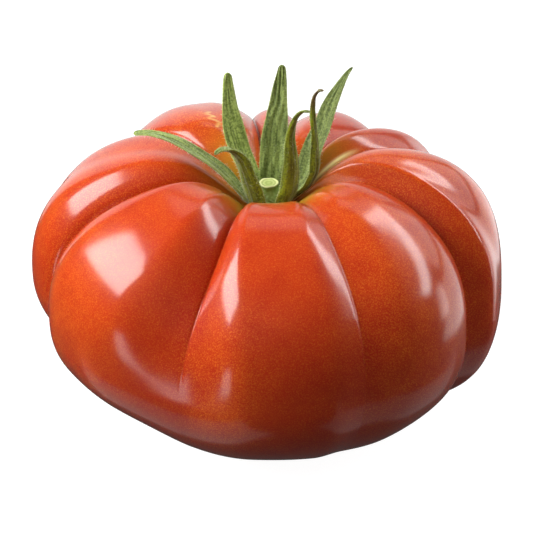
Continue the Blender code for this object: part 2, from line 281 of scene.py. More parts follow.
@dataclass(frozen=True)
class TomatoSkin:
    """Ripe tomato skin: a clear waxy cuticle over orange-red flesh, freckled with gold.

    The cuticle gives the sharp soft-box reflections, the flesh under it glows a little, and the
    freckles are the fine pale flecks of a sun-ripened beefsteak.
    """

    ripe: str = "#A3240A"
    deep: str = "#9E2409"
    orange: str = "#B8440D"
    # Painted shade: valley is a darker red laid along the furrows, where shade falls
    valley: str = "#921706"
    # under darkens the colour towards the base: partly the deeper red of a riper blossom end, partly painted
    # shade of the dim underside
    under: str = "#8A1A08"
    stem_end: str = "#B08A22"
    pale_line: str = "#F8F0A4"
    cork: str = "#8A6A32"
    scar: str = "#CFA654"
    fleck: str = "#D87420"
    # Flecks are about 0.2 mm across on the real skin; cells of 0.45 mm show as single grains
    fleck_cell_mm: float = 0.45
    # Grain of the skin cells, 0.1 mm on the real skin and drawn at 0.28 mm so that it shows
    grain_mm: float = 0.28
    # Clouds of riper and paler skin, 9 mm across
    cloud_mm: float = 9.0
    # Pores that dull the gloss, 0.5 mm across
    pore_mm: float = 0.5

    def material(self) -> bpy.types.Material:
        """Make the skin's node material.

        Returns:
            The material, which reads Object coordinates and the fruit's own tint attributes.
        """
        material, tree, shader = new_material("tomato_skin_waxy")
        place = add_node(tree, "ShaderNodeTexCoord").outputs["Object"]
        tint = read_tints(
            tree, "valley", "stem_end", "under", "pale_line", "cork", "golden", "scar"
        )
        clouds = add_node(
            tree, "ShaderNodeTexNoise",
            {"Vector": place, "Scale": 1.0 / (self.cloud_mm * MM), "Detail": 4.0, "Roughness": 0.6},
        )
        cloud = add_node(
            tree, "ShaderNodeMapRange",
            {"Value": clouds.outputs["Fac"], "From Min": 0.35, "From Max": 0.68},
        )
        colour = mix_colours(tree, cloud.outputs["Result"], self.deep, self.ripe)
        blush = add_node(
            tree, "ShaderNodeMath",
            {0: tint["golden"], 1: cloud.outputs["Result"]}, operation="MULTIPLY",
        )
        flecks = self.flecks(tree, place, clouds.outputs["Fac"], tint["golden"])
        for share, over in (
            (blush.outputs[0], self.orange),
            # Darker towards the base, partly painted shade of the underside
            (tint["under"], self.under),
            # Painted shade along the furrows
            (tint["valley"], self.valley),
            (tint["stem_end"], self.stem_end),
            (flecks, self.fleck),
            (tint["pale_line"], self.pale_line),
            (tint["scar"], self.scar),
            (tint["cork"], self.cork),
        ):
            colour = mix_colours(tree, share, colour, over)
        tree.links.new(colour, shader.inputs["Base Color"])
        self.surface(tree, shader, place, tint["cork"])
        return material

    def flecks(self, tree: bpy.types.NodeTree, place: Any, cloud: Any, golden: Any) -> Any:
        """Scatter the golden flecks.

        A fleck is the middle of a Voronoi cell, stronger where a wide noise is high; a finer grain
        lies between the flecks.  Both follow the golden patches of the skin.

        Args:
            tree: The material's node tree.
            place: Object coordinates.
            cloud: The cloud noise.
            golden: How freckled the skin is at a point.

        Returns:
            Socket with the strength of the flecks.
        """
        cells = add_node(
            tree, "ShaderNodeTexVoronoi",
            {"Vector": place, "Scale": 1.0 / (self.fleck_cell_mm * MM), "Randomness": 1.0},
        )
        dot = add_node(
            tree, "ShaderNodeMapRange",
            {"Value": cells.outputs["Distance"], "From Min": 0.42, "From Max": 0.10},
        )
        patch = add_node(
            tree, "ShaderNodeMapRange",
            {"Value": cloud, "From Min": 0.40, "From Max": 0.60, "To Min": 0.25, "To Max": 0.75},
        )
        strength = add_node(
            tree, "ShaderNodeMath",
            {0: dot.outputs["Result"], 1: patch.outputs["Result"]}, operation="MULTIPLY",
        )
        fine = add_node(
            tree, "ShaderNodeTexNoise",
            {"Vector": place, "Scale": 1.0 / (self.grain_mm * MM), "Detail": 1.0},
        )
        grain = add_node(
            tree, "ShaderNodeMapRange",
            {"Value": fine.outputs["Fac"], "From Min": 0.45, "From Max": 0.75, "To Max": 0.8},
        )
        both = add_node(
            tree, "ShaderNodeMath",
            {0: strength.outputs[0], 1: grain.outputs["Result"]}, operation="ADD",
        )
        return add_node(
            tree, "ShaderNodeMath", {0: both.outputs[0], 1: golden}, operation="MULTIPLY"
        ).outputs[0]

    def surface(self, tree: bpy.types.NodeTree, shader: Any, place: Any, cork: Any) -> None:
        """Set the gloss, the glow of the flesh and the fine relief.

        Args:
            tree: The material's node tree.
            shader: Its Principled shader.
            place: Object coordinates.
            cork: Where the skin is corky, so rough.
        """
        pores = add_node(
            tree, "ShaderNodeTexNoise",
            {"Vector": place, "Scale": 1.0 / (self.pore_mm * MM), "Detail": 2.0},
        )
        rough = add_node(
            tree, "ShaderNodeMapRange",
            {"Value": pores.outputs["Fac"], "To Min": 0.36, "To Max": 0.52},
        )
        dull = add_node(
            tree, "ShaderNodeMath", {0: rough.outputs["Result"], 1: cork}, operation="MAXIMUM"
        )
        bump = add_node(
            tree, "ShaderNodeBump",
            {"Height": pores.outputs["Fac"], "Strength": 0.05, "Distance": 0.2 * MM},
        )
        # A clear coat over a dull base gives the gloss, and light spreads in the flesh under it
        set_inputs(tree, shader, {
            "Roughness": dull.outputs[0],
            "Normal": bump.outputs["Normal"],
            "IOR": 1.4,
            "Specular IOR Level": 0.1,
            "Coat Weight": 1.0,
            "Coat Roughness": 0.17,
            "Coat IOR": 1.45,
            "Subsurface Weight": 0.25,
            "Subsurface Radius": (1.0, 0.20, 0.08),
            "Subsurface Scale": 2.5 * MM,
        })


@dataclass(frozen=True)
class SepalTissue:
    """Downy green sepal tissue: dusty and mottled inside, darker olive outside, paler edges."""

    inner: str = "#8A9A4E"
    inner_dark: str = "#4A5A1C"
    outer: str = "#84940C"
    outer_dark: str = "#4A5804"
    midrib: str = "#4A4A08"
    edge: str = "#8C9A4C"
    brown: str = "#5E3D1E"
    # Mottling between the veins, 0.5 mm across
    mottle_mm: float = 0.5

    def material(self) -> bpy.types.Material:
        """Make the sepals' node material.

        Returns:
            The material, which reads each sepal's own UV map and attributes.
        """
        material, tree, shader = new_material("sepal_tissue_downy")
        place = add_node(tree, "ShaderNodeTexCoord").outputs["Object"]
        flat = add_node(tree, "ShaderNodeUVMap", uv_map="along").outputs["UV"]
        tint = read_tints(tree, "inner_face", "edge", "browning", "midrib", "tone")
        # Veins run lengthwise, about eight across the sepal, so the pattern is stretched along it
        stretched = add_node(
            tree, "ShaderNodeMapping", {"Vector": flat, "Scale": (8.0, 3.2, 1.0)}
        )
        veins = add_node(
            tree, "ShaderNodeTexNoise",
            {"Vector": stretched.outputs["Vector"], "Scale": 1.0, "Detail": 3.0, "Roughness": 0.6},
        )
        mottle = add_node(
            tree, "ShaderNodeTexNoise",
            {"Vector": place, "Scale": 1.0 / (self.mottle_mm * MM), "Detail": 4.0, "Roughness": 0.7},
        )
        blend = add_node(
            tree, "ShaderNodeMath",
            {0: veins.outputs["Fac"], 1: mottle.outputs["Fac"]}, operation="ADD",
        )
        share = add_node(
            tree, "ShaderNodeMapRange",
            {"Value": blend.outputs[0], "From Min": 0.86, "From Max": 1.14},
        ).outputs["Result"]
        inner = mix_colours(tree, share, self.inner_dark, self.inner)
        outer = mix_colours(tree, share, self.outer_dark, self.outer)
        rib = add_node(tree, "ShaderNodeMath", {0: tint["midrib"], 1: 0.55}, operation="MULTIPLY")
        outer = mix_colours(tree, rib.outputs[0], outer, self.midrib)
        colour = mix_colours(tree, tint["inner_face"], outer, inner)
        colour = mix_colours(tree, tint["edge"], colour, self.edge)
        colour = mix_colours(tree, tint["browning"], colour, self.brown)
        # Painted light and shade: each sepal's tone scales the value of its colour to stand in for how
        # brightly it is lit
        colour = add_node(
            tree, "ShaderNodeHueSaturation", {"Color": colour, "Value": tint["tone"]}
        ).outputs["Color"]
        bump = add_node(
            tree, "ShaderNodeBump",
            {"Height": blend.outputs[0], "Strength": 0.7, "Distance": 0.3 * MM},
        )
        # Sheen stands for the down that is too fine to model
        set_inputs(tree, shader, {
            "Base Color": colour,
            "Normal": bump.outputs["Normal"],
            "Roughness": 0.62,
            "IOR": 1.42,
            "Sheen Weight": 0.25,
            "Sheen Roughness": 0.4,
            "Subsurface Weight": 0.1,
            "Subsurface Radius": (0.5, 0.8, 0.2),
            "Subsurface Scale": 0.6 * MM,
        })
        return material


@dataclass(frozen=True)
class CutStem:
    """Fresh cut stem: green ribbed bark, and a pale moist cut face with its ring of vessels."""

    bark: str = "#93A552"
    bark_dark: str = "#6C8038"
    rim: str = "#D5D79A"
    flesh: str = "#B5BE7A"
    ring: str = "#8E9C52"
    # Fibres of the bark and grains of the pith, 0.5 mm across
    fibre_mm: float = 0.5

    def material(self) -> bpy.types.Material:
        """Make the stem's node material.

        Returns:
            The material, which reads Object coordinates and the stub's own attributes.
        """
        material, tree, shader = new_material("stem_fresh_cut")
        place = add_node(tree, "ShaderNodeTexCoord").outputs["Object"]
        tint = read_tints(tree, "cut_face", "ring")
        grain = add_node(
            tree, "ShaderNodeTexNoise",
            {"Vector": place, "Scale": 1.0 / (self.fibre_mm * MM), "Detail": 3.0},
        )
        wobble = add_node(
            tree, "ShaderNodeMath",
            {0: grain.outputs["Fac"], 1: 0.16}, operation="MULTIPLY",
        )
        place_in_ring = add_node(
            tree, "ShaderNodeMath", {0: tint["ring"], 1: wobble.outputs[0]}, operation="ADD"
        )
        face = add_node(tree, "ShaderNodeValToRGB", {"Fac": place_in_ring.outputs[0]})
        set_ramp(
            face,
            [(0.0, self.flesh), (0.42, self.ring), (0.62, self.flesh), (0.80, self.ring),
             (0.95, self.rim)],
        )
        bark = mix_colours(tree, grain.outputs["Fac"], self.bark_dark, self.bark)
        bump = add_node(
            tree, "ShaderNodeBump",
            {"Height": grain.outputs["Fac"], "Strength": 0.4, "Distance": 0.3 * MM},
        )
        set_inputs(tree, shader, {
            "Base Color": mix_colours(tree, tint["cut_face"], bark, face.outputs["Color"]),
            "Normal": bump.outputs["Normal"],
            "Roughness": 0.5,
            "IOR": 1.42,
        })
        return material


@dataclass(frozen=True)
class PlantDown:
    """Fine pale hairs that catch the light along the calyx."""

    hair: str = "#C9CFA0"
    shaded: str = "#9DA873"
    # Patches of paler and darker hairs, 1.5 mm across
    patch_mm: float = 1.5

    def material(self) -> bpy.types.Material:
        """Make the hairs' material: pale, half matt and a little uneven from hair to hair."""
        material, tree, shader = new_material("plant_down")
        place = add_node(tree, "ShaderNodeTexCoord").outputs["Object"]
        patches = add_node(
            tree, "ShaderNodeTexNoise", {"Vector": place, "Scale": 1.0 / (self.patch_mm * MM)}
        )
        tone = add_node(tree, "ShaderNodeValToRGB", {"Fac": patches.outputs["Fac"]})
        set_ramp(tone, [(0.3, self.shaded), (0.7, self.hair)])
        set_inputs(tree, shader, {"Base Color": tone.outputs["Color"], "Roughness": 0.45})
        return material


@dataclass(frozen=True)
class StudioPaper:
    """Matt seamless studio paper, lit through from behind, so pale in its shadows too."""

    paper: str = "#807F7E"
    glow: float = 0.95

    def material(self) -> bpy.types.Material:
        """Make the paper's material."""
        material, tree, shader = new_material("seamless_paper")
        set_inputs(tree, shader, {
            "Base Color": linear(self.paper),
            "Roughness": 0.9,
            "Specular IOR Level": 0.0,
            "Emission Color": (1.0, 1.0, 1.0, 1.0),
            "Emission Strength": self.glow,
        })
        return material


# ---------------------------------------------------------------- the fruit


@dataclass(frozen=True)
class Furrow:
    """A valley between two lobes.

    Bearings are given at the four furrow heights, from the stem down to the base.  The depth is the
    share of the radius that is taken away halfway up the shoulder, and the waist share and base
    share are what is left of that depth further down.  The slopes are the widths of its two sides
    in degrees, and crispness says how sharp each side meets the valley, from 0 for round to 1 for a
    cusp; the crisp shares and spread shares scale these two at each height.
    """

    bearings: tuple
    depth: float
    waist_share: float
    slopes: tuple
    crispness: tuple
    base_share: float = 0.33
    crisp_shares: tuple = (1.0, 1.0, 1.0, 1.0)
    spread_shares: tuple = (1.0, 1.0, 1.0, 1.0)


@dataclass(frozen=True)
class Swell:
    """A soft round spot on the fruit, placed and spread in degrees.

    The amount is a share of the radius where it shapes the fruit, negative for a hollow, and the
    strength of the colour where it tints the skin.
    """

    bearing: float
    elevation: float
    bearing_spread: float
    elevation_spread: float
    amount: float


@dataclass
class Fruit:
    """The ribbed fruit: a squared-off ellipsoid with furrows, swells, a stem dimple and a flat spot.

    Bearings go round the core in degrees, with 0 at the front and 90 at the right; elevations are
    seen from the middle of the waist, with 90 at the stem and -90 at the base.  Lengths are in
    millimetres.  A furrow's depth grows from nothing over the stem fade and the base fade, in
    degrees from each pole; furrow crowding is how far the mesh's columns gather in the valleys.
    """

    waist_radius: float = 55.3
    front_to_back: float = 0.97
    waist_z: float = 31.5
    crown_rise: float = 35.5
    base_drop: float = 33.2
    crown_squareness: float = 2.6
    base_squareness: float = 2.05
    dimple_depth: float = 17.0
    dimple_spread: float = 13.5
    stem_fade: float = 14.0
    base_fade: float = 30.0
    stem_share: float = 0.65
    rest_rounding: float = 1.2
    heights: tuple = (80.0, 45.0, 0.0, -60.0)
    columns: int = 400
    rings: int = 232
    furrow_crowding: float = 0.6
    deep_furrows: tuple = (
        Furrow(
            (-28, -20, -22, -26), 0.16, 0.31, (21, 14), (0.55, 0.85), 0.02,
            (0.4, 1.0, 0.0, 0.0), (0.9, 0.8, 1.3, 1.3),
        ),
        Furrow(
            (32, 25, 23, 18), 0.052, 0.50, (9, 14), (0.6, 0.1), 0.0,
            (0.5, 1.0, 0.3, 0.0), (1.3, 1.2, 0.95, 1.0),
        ),
        Furrow(
            (83, 73, 63, 62), 0.15, 0.65, (28, 9), (0.9, 0.3), 0.33,
            (0.5, 1.0, 1.0, 1.0), (0.7, 0.8, 1.0, 1.0),
        ),
        Furrow((112, 114, 120, 122), 0.14, 0.60, (26, 18), (0.5, 0.6)),
        Furrow((138, 140, 142, 142), 0.13, 0.60, (16, 16), (0.7, 0.7)),
        Furrow((170, 170, 170, 170), 0.13, 0.60, (14, 14), (0.7, 0.7)),
        Furrow((186, 186, 186, 188), 0.13, 0.60, (12, 16), (0.7, 0.7)),
        Furrow((240, 233, 230, 230), 0.14, 0.60, (22, 24), (0.6, 0.5)),
        Furrow((288, 283, 281, 280), 0.16, 0.65, (13, 18), (0.9, 0.55)),
    )
    soft_furrows: tuple = (
        Furrow((262, 256, 254, 254), 0.02, 1.00, (13, 13), (0.0, 0.0)),
    )
    swells: tuple = (
        Swell(2, -10, 22, 40, 0.02),
        Swell(26, -32, 18, 16, 0.035),
        Swell(-52, 30, 28, 28, 0.03),
        Swell(-50, -32, 22, 16, -0.05),
        Swell(-106, -2, 30, 26, 0.035),
        Swell(-128, 45, 14, 16, 0.05),
        Swell(-22, -30, 14, 20, 0.035),
        Swell(72, -26, 26, 18, 0.075),
        Swell(97, 40, 20, 20, 0.06),
        Swell(80, 30, 4, 22, -0.013),
        Swell(158, 48, 34, 30, -0.10),
        Swell(-165, 50, 30, 26, -0.03),
    )

    golden_patches: tuple = (
        Swell(-12, 0, 9, 28, 0.40),
        Swell(46, 22, 24, 44, 0.35),
        Swell(-62, 8, 22, 34, 0.32),
        Swell(96, 44, 26, 34, 0.35),
        Swell(-100, 30, 22, 30, 0.25),
        Swell(-150, 55, 30, 24, 0.55),
    )
    flushes: tuple = (
        Swell(42, 76, 22, 9, 0.85),
        Swell(-30, 78, 10, 10, 0.75),
        Swell(122, 68, 10, 12, 0.5),
        Swell(-135, 74, 20, 10, 0.5),
    )
    # Bearing and elevation of the corky scar's corners
    scar: tuple = ((-149, 49), (-146, 51), (-148, 53), (-144, 54), (-147, 57), (-143, 59))
    scar_width: float = 0.45
    pale_line_furrow: int = 3
    pale_line_offset: float = 1.6
    pale_line_width: float = 1.2
    deepest_furrow: float = 0.16
    stem_flush_mm: float = 13.0
    cork_mm: float = 3.2

    def furrow_offset(self, furrow: Furrow, bearing: np.ndarray, elevation: np.ndarray) -> np.ndarray:
        """Degrees from a furrow's valley to each point, negative on its left side."""
        return wrap_degrees(bearing - through_knots(elevation, self.heights, furrow.bearings))

    def furrow_cut(self, furrow: Furrow, bearing: np.ndarray, elevation: np.ndarray) -> np.ndarray:
        """Share of the radius that a furrow takes away.

        Across the furrow the cut is a mix of a circular arc that meets the valley as a cusp and a
        squared cosine; along it the depth follows a smooth curve and fades out at both poles.

        Args:
            furrow: The furrow.
            bearing: Bearings of the points.
            elevation: Elevations of the points.

        Returns:
            The cut at each point.
        """
        offset = self.furrow_offset(furrow, bearing, elevation)
        left = offset < 0.0
        slope = np.where(left, *furrow.slopes)
        slope = slope * through_knots(elevation, self.heights, furrow.spread_shares)
        reach = np.minimum(np.abs(offset) / slope, 1.0)
        sharp = 1.0 - np.sqrt(1.0 - (1.0 - reach) ** 2)
        rounded = np.cos(np.pi * reach / 2.0) ** 2
        crisp = np.where(left, *furrow.crispness)
        crisp = crisp * through_knots(elevation, self.heights, furrow.crisp_shares)
        shares = (self.stem_share, 1.0, furrow.waist_share, furrow.base_share)
        depth = furrow.depth * through_knots(elevation, self.heights, shares)
        fade = smooth_step((90.0 - elevation) / self.stem_fade)
        fade = fade * smooth_step((90.0 + elevation) / self.base_fade)
        return depth * fade * (crisp * sharp + (1.0 - crisp) * rounded)

    def hills(self, swells: tuple, bearing: np.ndarray, elevation: np.ndarray) -> np.ndarray:
        """Sum of a Gaussian hill for each swell."""
        push = np.zeros_like(bearing)
        for swell in swells:
            across = wrap_degrees(bearing - swell.bearing) / swell.bearing_spread
            up = (elevation - swell.elevation) / swell.elevation_spread
            push += swell.amount * np.exp(-across * across - up * up)
        return push

    def skin(self, bearing: np.ndarray, elevation: np.ndarray) -> np.ndarray:
        """Points of the skin in millimetres, as a function of bearing and elevation.

        The polar radius of a superellipse is multiplied by one minus the furrows plus the swells.
        A Gaussian dimple then sinks the crown, and a parabola rounds the base off into the flat
        resting spot at height zero.

        Args:
            bearing: Bearings in degrees.
            elevation: Elevations in degrees.

        Returns:
            Array of the grid's shape with three coordinates each.
        """
        out = np.cos(np.radians(elevation)).clip(0.0, None)
        up = np.sin(np.radians(elevation))
        crown = up > 0.0
        square = np.where(crown, self.crown_squareness, self.base_squareness)
        reach = np.where(crown, self.crown_rise, self.base_drop)
        radius = ((out / self.waist_radius) ** square + (np.abs(up) / reach) ** square) ** (-1 / square)
        share = 1.0 + self.hills(self.swells, bearing, elevation)
        for furrow in self.deep_furrows + self.soft_furrows:
            share -= self.furrow_cut(furrow, bearing, elevation)
        radius = radius * share
        spread = radius * out
        height = self.waist_z + radius * up
        height -= crown * self.dimple_depth * np.exp(-((spread / self.dimple_spread) ** 2))
        soft = self.rest_rounding
        curve = (height + soft) ** 2 / (4.0 * soft)
        height = np.where(height > soft, height, np.where(height < -soft, 0.0, curve))
        turn = np.radians(bearing)
        x = spread * np.sin(turn)
        y = -spread * np.cos(turn) * self.front_to_back
        return np.stack([x, y, height], axis=-1)

    def grid(self) -> tuple[np.ndarray, np.ndarray]:
        """Bearings and elevations of the mesh.

        Columns run in each valley and crowd towards it; the number between two valleys follows
        the width of the lobe at the waist.

        Returns:
            Bearing and elevation arrays, ring by ring from the stem to the base.
        """
        elevation = np.linspace(90.0, -90.0, self.rings)
        waists = np.array([furrow.bearings[2] for furrow in self.deep_furrows], dtype=float)
        widths = np.diff(np.append(waists, waists[0] + 360.0))
        counts = np.round(widths / 360.0 * self.columns).astype(int)
        columns = []
        for lobe, count in enumerate(counts):
            t = np.arange(count) / count
            crowd = self.furrow_crowding
            t = (1.0 - crowd) * t + crowd * 0.5 * (1.0 - np.cos(np.pi * t))
            following = (lobe + 1) % len(counts)
            start = through_knots(elevation, self.heights, self.deep_furrows[lobe].bearings)
            end = through_knots(elevation, self.heights, self.deep_furrows[following].bearings)
            end = end + (360.0 if following == 0 else 0.0)
            columns.append(start[:, None] * (1.0 - t) + end[:, None] * t)
        bearing = np.concatenate(columns, axis=1)
        return bearing, np.repeat(elevation[:, None], bearing.shape[1], axis=1)

    def tints(self, bearing: np.ndarray, elevation: np.ndarray, points: np.ndarray) -> dict:
        """Where each colour of the skin shows, from 0 to 1.

        Args:
            bearing: Bearings of the grid.
            elevation: Elevations of the grid.
            points: The skin's points.

        Returns:
            Array of shares for each tint by name.
        """
        spread = np.hypot(points[..., 0], points[..., 1])
        # Painted shade: the valley share darkens the colour along each furrow, strongest in the deepest
        # furrows, halved overall and fading out at the stem
        valley = np.zeros_like(bearing)
        for furrow in self.deep_furrows:
            offset = self.furrow_offset(furrow, bearing, elevation)
            left, right = furrow.slopes
            width = np.where(offset < 0.0, left, right) * 0.45
            shade = np.exp(-((offset / width) ** 2)) * furrow.depth / self.deepest_furrow
            valley = np.maximum(valley, shade)
        valley *= smooth_step((88.0 - elevation) / 30.0) * 0.5
        crown = points[..., 2] > self.waist_z
        flush = self.hills(self.flushes, bearing, elevation)
        stem_end = np.exp(-((spread / self.stem_flush_mm) ** 2)) * 0.6 + flush
        stem_end = stem_end.clip(0.0, 0.9) * crown
        # Darker towards the base: partly the riper blossom end, partly painted shade of the dim underside
        under = smooth_step((18.0 - elevation) / 60.0)
        lined = self.deep_furrows[self.pale_line_furrow]
        line = self.furrow_offset(lined, bearing, elevation) - self.pale_line_offset
        reach = smooth_step((elevation - 50.0) / 12.0) * smooth_step((86.0 - elevation) / 6.0)
        pale_line = np.exp(-((line / self.pale_line_width) ** 2)) * reach
        golden = (0.28 + self.hills(self.golden_patches, bearing, elevation)).clip(0.0, 1.0)
        cork = np.exp(-((spread / self.cork_mm) ** 2)) * (points[..., 2] < self.waist_z)
        scar = smooth_route(self.scar, 60)
        aside = wrap_degrees(bearing[..., None] - scar[:, 0]) * np.cos(np.radians(elevation))[..., None]
        apart = np.hypot(aside, elevation[..., None] - scar[:, 1]).min(axis=-1)
        scar_share = np.exp(-((apart / self.scar_width) ** 2)) * 0.8
        return {
            "valley": valley,
            "stem_end": stem_end,
            "under": under,
            "pale_line": pale_line,
            "golden": golden,
            "cork": cork,
            "scar": scar_share,
        }

    def build(self) -> bpy.types.Object:
        """Make the fruit's mesh with its tint attributes.

        Returns:
            The fruit, in place.
        """
        bearing, elevation = self.grid()
        points = self.skin(bearing, elevation)
        mesh = mesh_between_poles("tomato_fruit", points)
        for name, values in self.tints(bearing, elevation, points).items():
            store(mesh, name, pole_values(values))
        return add_piece("tomato_fruit", mesh, ("fruit",))

    def dress(self, piece: bpy.types.Object, finish: TomatoSkin) -> None:
        """Give the fruit its skin."""
        piece.data.materials.append(finish.material())


# ---------------------------------------------------------------- the calyx


@dataclass
class StemStub:
    """The cut end of the fruit stalk, flared at the foot where the sepals grow out."""

    profile: tuple = (
        (0.0, 57.75), (0.8, 57.8), (1.5, 57.8), (1.85, 57.95), (2.05, 57.98), (2.16, 57.75),
        (2.1, 57.2), (2.15, 56.6), (2.5, 56.0), (3.1, 55.4), (3.8, 54.7), (4.4, 54.0),
        (4.5, 53.2), (3.6, 52.4), (2.0, 51.7), (0.0, 51.3),
    )
    cut_height: float = 57.6
    rows: int = 110
    columns: int = 96
    hairs: int = 260
    face_radius: float = 2.2

    def surface(self) -> tuple[np.ndarray, np.ndarray]:
        """Turn the smoothed profile round the core.

        The radius of the bark waves round its vessels, the waves drift as they go down, so that the
        foot is wrinkled, and the cut face is a shallow dish tilted by one wave round it.

        Returns:
            Points of the stub ring by ring, and the share of the cut face at each.
        """
        profile = smooth_route(self.profile, self.rows)
        turn = np.linspace(0.0, math.tau, self.columns, endpoint=False)[None, :]
        radius, height = profile[:, :1], profile[:, 1:]
        bark = smooth_step((self.cut_height + 0.25 - height) / 0.5)
        foot = smooth_step((56.6 - height) / 1.5)
        ribs = 0.03 * np.cos(11.0 * turn + 0.9 * height) + 0.025 * np.cos(7.0 * turn - 2.3 * height)
        folds = 0.05 * foot * np.sin(17.0 * turn + 4.0 * np.sin(3.0 * height + turn))
        swirl = 0.03 * np.cos(2.0 * turn + 0.6) + 0.03 * np.cos(3.0 * turn - 0.8)
        reach = radius * (1.0 + bark * (ribs + folds) + swirl)
        dish = 0.10 * (1.0 - bark) * np.cos(turn + 0.8) * radius / self.face_radius
        dish = dish + 0.05 * (1.0 - bark) * np.cos(5.0 * turn + 1.0) * smooth_step(radius / 1.6)
        points = np.stack([reach * np.cos(turn), reach * np.sin(turn), height + dish], axis=-1)
        upper_rows = np.arange(self.rows)[:, None] < self.rows * 0.4
        on_face = smooth_step((height - self.cut_height) / 0.2) * upper_rows
        return points, np.broadcast_to(on_face, points.shape[:2])

    def build(self) -> bpy.types.Object:
        """Make the stub's closed mesh, with its cut-face and ring attributes.

        Returns:
            The stub, in place.
        """
        points, cut = self.surface()
        mesh = mesh_between_poles("stem_stub_cut", points)
        ring = np.hypot(points[..., 0], points[..., 1]) / self.face_radius
        store(mesh, "cut_face", pole_values(cut))
        store(mesh, "ring", pole_values(ring.clip(0.0, 1.0)))
        return add_piece("stem_stub_cut", mesh, ("stem_stub",))

    def build_down(self) -> bpy.types.Object:
        """Grow hairs round the stub's foot, standing out and up from its bark."""
        rng = np.random.default_rng(90)
        points, _ = self.surface()
        row = rng.integers(int(self.rows * 0.45), int(self.rows * 0.8), self.hairs)
        column = rng.integers(0, self.columns, self.hairs)
        base = points[row, column]
        out = base * (1.0, 1.0, 0.0)
        out /= np.linalg.norm(out, axis=1)[:, None]
        lean = out + (0.0, 0.0, 0.7) + rng.normal(0.0, 0.45, base.shape)
        mesh = hair_spikes("stem_down", base, lean, rng.uniform(0.35, 0.95, self.hairs), rng)
        return add_piece("stem_down", mesh)

    def dress(
        self, piece: bpy.types.Object, down: bpy.types.Object, finish: CutStem, hair: bpy.types.Material
    ) -> None:
        """Give the stub its bark and cut face, and its hairs theirs."""
        piece.data.materials.append(finish.material())
        down.data.materials.append(hair)


def hair_spikes(
    name: str, base: np.ndarray, lean: np.ndarray, length: np.ndarray, rng: np.random.Generator
) -> bpy.types.Mesh:
    """Make slim closed spikes of four faces, each a triangle drawn out to a point.

    Args:
        name: Name of the mesh.
        base: Where each hair stands, in millimetres.
        lean: Direction that each hair points in, of any length.
        length: Length of each hair in millimetres.
        rng: Source of the turn of each foot.

    Returns:
        All the hairs as one mesh.
    """
    lean = lean / np.linalg.norm(lean, axis=1)[:, None]
    first = np.cross(lean, rng.normal(0.0, 1.0, base.shape))
    first /= np.linalg.norm(first, axis=1)[:, None]
    second = np.cross(lean, first)
    # Real hairs are about 0.03 mm thick; 0.07 mm lets them show as faint pale lines
    foot = 0.035
    sunk = 0.1
    third = math.tau / 3.0
    corners = [
        base + foot * (first * math.cos(turn) + second * math.sin(turn)) - lean * sunk
        for turn in (0.0, third, 2.0 * third)
    ]
    verts = np.stack([*corners, base + lean * length[:, None]], axis=1).reshape(-1, 3) * MM
    start = 4 * np.arange(len(base))[:, None, None]
    spike = np.array([[0, 2, 1], [0, 1, 3], [1, 2, 3], [2, 0, 3]])[None]
    mesh = bpy.data.meshes.new(name)
    mesh.from_pydata(verts.tolist(), [], (start + spike).reshape(-1, 3).tolist())
    return mesh


